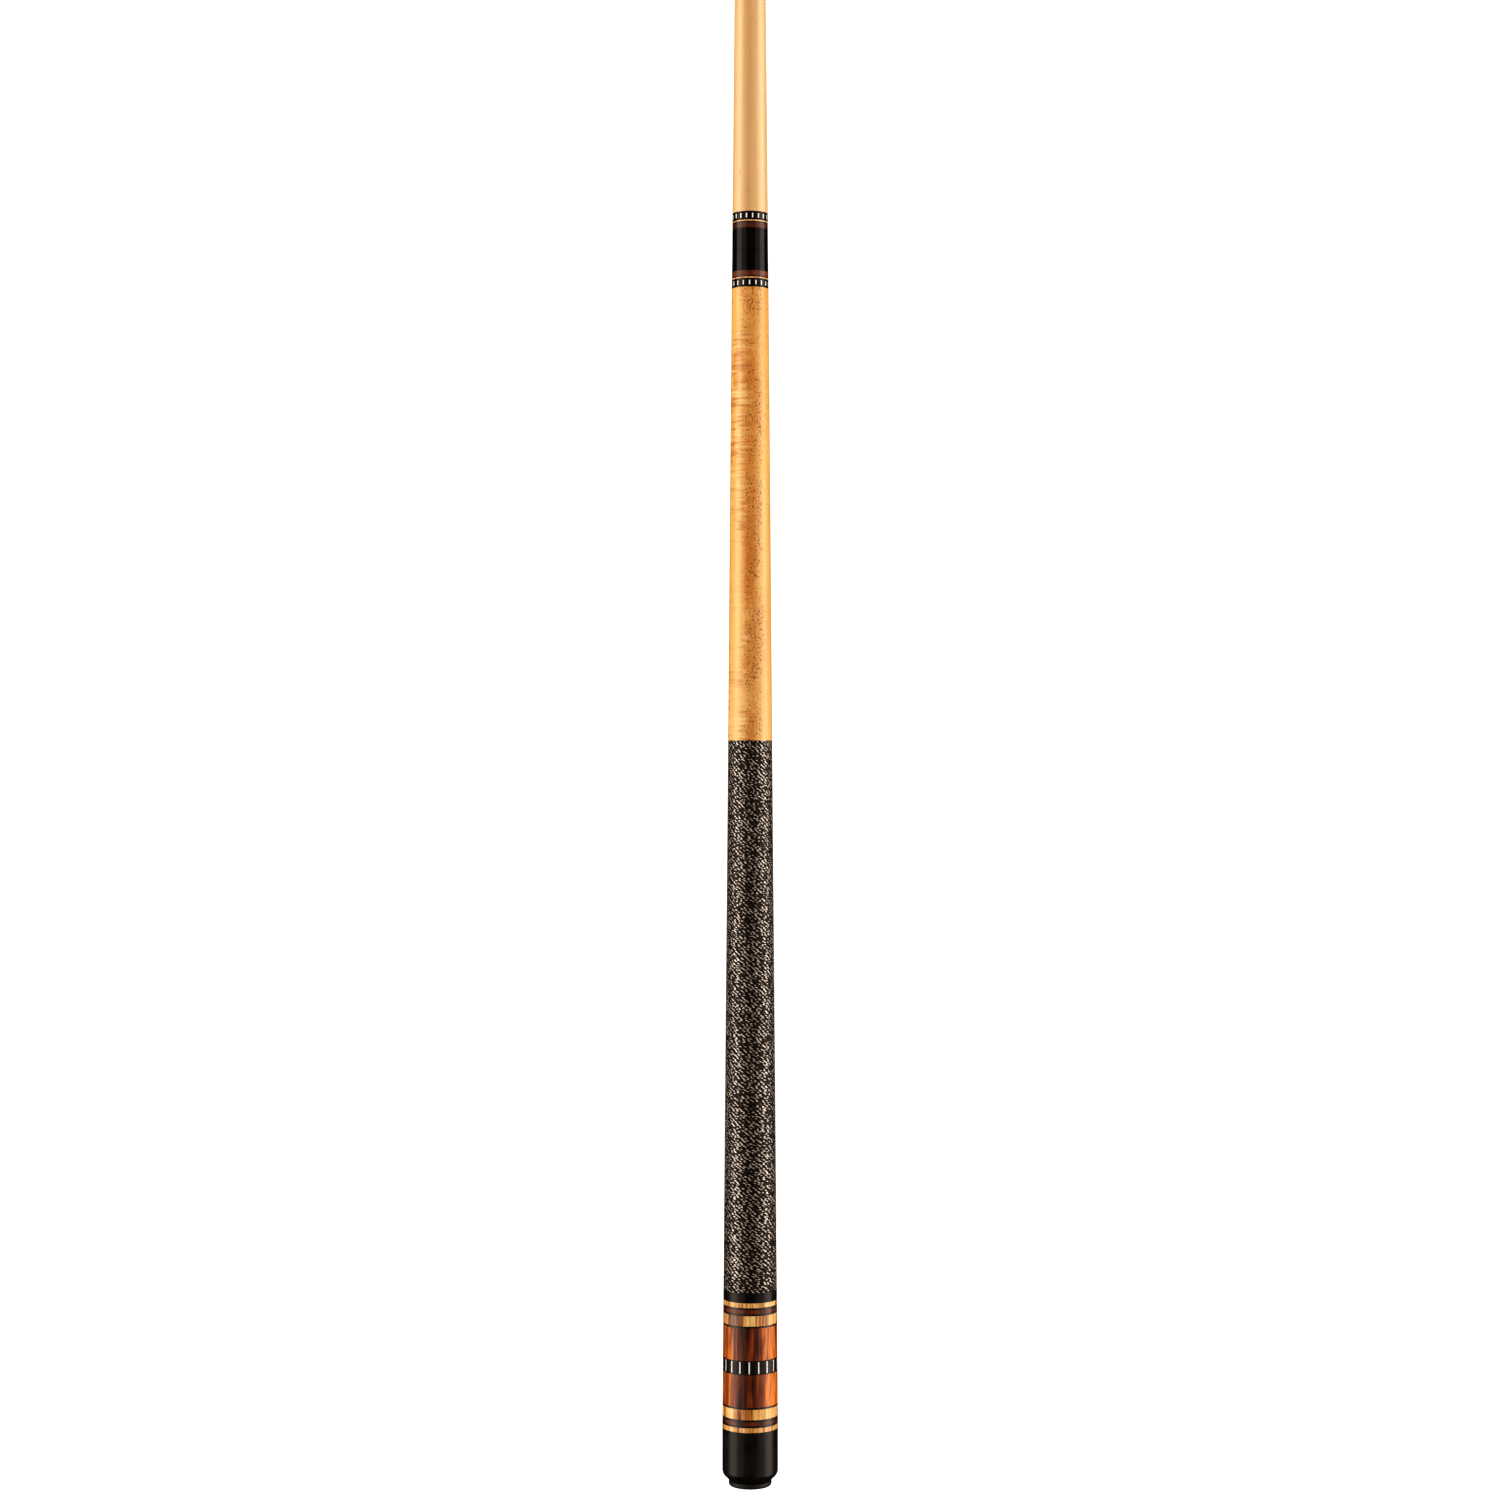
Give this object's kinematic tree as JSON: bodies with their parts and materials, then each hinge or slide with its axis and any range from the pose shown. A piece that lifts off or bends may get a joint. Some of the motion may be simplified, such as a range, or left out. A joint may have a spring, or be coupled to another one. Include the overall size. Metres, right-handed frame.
{
  "type": "two-piece pool cue",
  "caption": "Two-piece pool cue with a linen-wrapped handle, figured maple forearm, cocobolo butt sleeve with inlaid rings, threaded joint, tapered maple shaft and leather tip.",
  "frame": {"origin": "centre of the rubber bumper's bottom face", "axes": "+Z along the cue from the bumper to the tip; +X and +Y square to it, with one inlay of the butt sleeve's ring facing -Y"},
  "size_m": [0.0334, 0.0334, 1.4764],
  "materials": {
    "black_rubber": "satin",
    "black_phenolic": "gloss",
    "white_inlay": "gloss",
    "black_veneer": "gloss",
    "light_ring_wood": "gloss clear coat",
    "streaked_wood": "gloss clear coat",
    "red_brown_wood": "gloss clear coat",
    "cocobolo": "gloss clear coat",
    "figured_maple": "gloss clear coat",
    "shaft_maple": "satin",
    "handle_maple": "bare",
    "linen": "pressed linen thread",
    "bolt_steel": "plain",
    "pin_steel": "polished",
    "insert_brass": "turned",
    "ferrule_white": "satin",
    "pad_fibre": "matt",
    "tip_leather": "burnished sides, chalk-ready dome"
  },
  "bodies": {
    "butt": {"butt_cap": "black_phenolic", "forearm": "figured_maple", "forearm_screw": "bolt_steel", "handle": "handle_maple", "joint_brown_ring": "red_brown_wood", "joint_collar": "black_phenolic", "joint_dash_ring": "black_phenolic", "joint_dashes": "white_inlay", "joint_light_ring": "light_ring_wood", "joint_pin": "pin_steel", "joint_veneer": "black_veneer", "linen_wrap": "linen", "lower_brown_ring": "red_brown_wood", "lower_cocobolo_sleeve": "cocobolo", "lower_streaked_ring": "streaked_wood", "lower_thin_light_ring": "light_ring_wood", "lower_veneer_a": "black_veneer", "lower_veneer_b": "black_veneer", "lower_veneer_c": "black_veneer", "sleeve_dash_ring": "black_phenolic", "sleeve_dashes": "white_inlay", "upper_brown_ring": "red_brown_wood", "upper_cocobolo_sleeve": "cocobolo", "upper_streaked_ring": "streaked_wood", "upper_thin_light_ring": "light_ring_wood", "upper_veneer_a": "black_veneer", "upper_veneer_b": "black_veneer", "upper_veneer_c": "black_veneer", "weight_bolt": "bolt_steel", "wrap_stop_ring": "black_phenolic"},
    "bumper": {"rubber_bumper": "black_rubber"},
    "tip": {"leather_tip": "tip_leather"},
    "shaft": {"shaft_collar": "black_phenolic", "shaft_brown_ring": "red_brown_wood", "shaft_veneer": "black_veneer", "shaft_light_ring": "light_ring_wood", "shaft_dash_ring": "black_phenolic", "shaft_dashes": "white_inlay", "shaft_insert": "insert_brass", "shaft_maple": "shaft_maple", "ferrule": "ferrule_white", "tip_pad": "pad_fibre"}
  },
  "joints": [
    {"name": "shaft_lift", "type": "slide", "parent": "butt", "child": "tip", "axis": [0, 0, 1], "range_m": [0, 0.029]},
    {"name": "shaft_twist", "type": "hinge", "parent": "tip", "child": "shaft", "pos_m": [0, 0, 0.7398], "axis": [0, 0, 1], "range_deg": [0, 5755]},
    {"name": "bumper_pull", "type": "slide", "parent": "butt", "child": "bumper", "axis": [0, 0, -1], "range_m": [0, 0.012]}
  ],
  "couplings": [
    {"joint": "shaft_twist", "follows": "shaft_lift", "rad_per_m": 3463.1}
  ]
}
